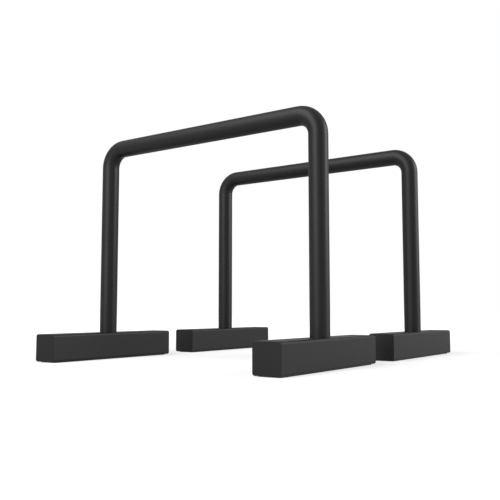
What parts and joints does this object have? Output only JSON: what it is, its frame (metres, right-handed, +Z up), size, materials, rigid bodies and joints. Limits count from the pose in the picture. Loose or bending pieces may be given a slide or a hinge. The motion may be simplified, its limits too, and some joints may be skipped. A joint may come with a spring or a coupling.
{
  "type": "parallette bars",
  "caption": "Pair of free-standing parallette bars: bent steel tube grips whose legs are bolted to square-section feet with moulded end caps and rubber pads, in matt black.",
  "frame": {"origin": "on the floor, in the middle of the pair", "axes": "+X along the grips, +Y from the front bar to the rear bar, +Z up"},
  "size_m": [0.642, 0.838, 0.524],
  "materials": {
    "black_powder_coat": "satin black powder coat with a fine texture",
    "black_moulded_plastic": "matt moulded black",
    "black_rubber": "matt black rubber",
    "zinc_plated_steel": "bright zinc plate"
  },
  "bodies": {
    "front_bar": {"front_grip_tube": "black_powder_coat", "front_left_foot": "black_powder_coat", "front_left_leg_plug": "zinc_plated_steel", "front_left_foot_front_cap": "black_moulded_plastic", "front_left_foot_front_pad": "black_rubber", "front_left_foot_rear_cap": "black_moulded_plastic", "front_left_foot_rear_pad": "black_rubber", "front_right_foot": "black_powder_coat", "front_right_leg_plug": "zinc_plated_steel", "front_right_foot_front_cap": "black_moulded_plastic", "front_right_foot_front_pad": "black_rubber", "front_right_foot_rear_cap": "black_moulded_plastic", "front_right_foot_rear_pad": "black_rubber", "front_foot_bolts": "zinc_plated_steel", "front_flat_washers": "zinc_plated_steel", "front_spring_washers": "zinc_plated_steel", "front_locating_pins": "zinc_plated_steel", "front_access_stoppers": "black_moulded_plastic"},
    "rear_bar": {"rear_grip_tube": "black_powder_coat", "rear_left_foot": "black_powder_coat", "rear_left_leg_plug": "zinc_plated_steel", "rear_left_foot_front_cap": "black_moulded_plastic", "rear_left_foot_front_pad": "black_rubber", "rear_left_foot_rear_cap": "black_moulded_plastic", "rear_left_foot_rear_pad": "black_rubber", "rear_right_foot": "black_powder_coat", "rear_right_leg_plug": "zinc_plated_steel", "rear_right_foot_front_cap": "black_moulded_plastic", "rear_right_foot_front_pad": "black_rubber", "rear_right_foot_rear_cap": "black_moulded_plastic", "rear_right_foot_rear_pad": "black_rubber", "rear_foot_bolts": "zinc_plated_steel", "rear_flat_washers": "zinc_plated_steel", "rear_spring_washers": "zinc_plated_steel", "rear_locating_pins": "zinc_plated_steel", "rear_access_stoppers": "black_moulded_plastic"}
  },
  "joints": [
    {"name": "bar_spacing", "type": "slide", "parent": "front_bar", "child": "rear_bar", "axis": [0, 1, 0], "range_m": [-0.092, 0.234]}
  ]
}
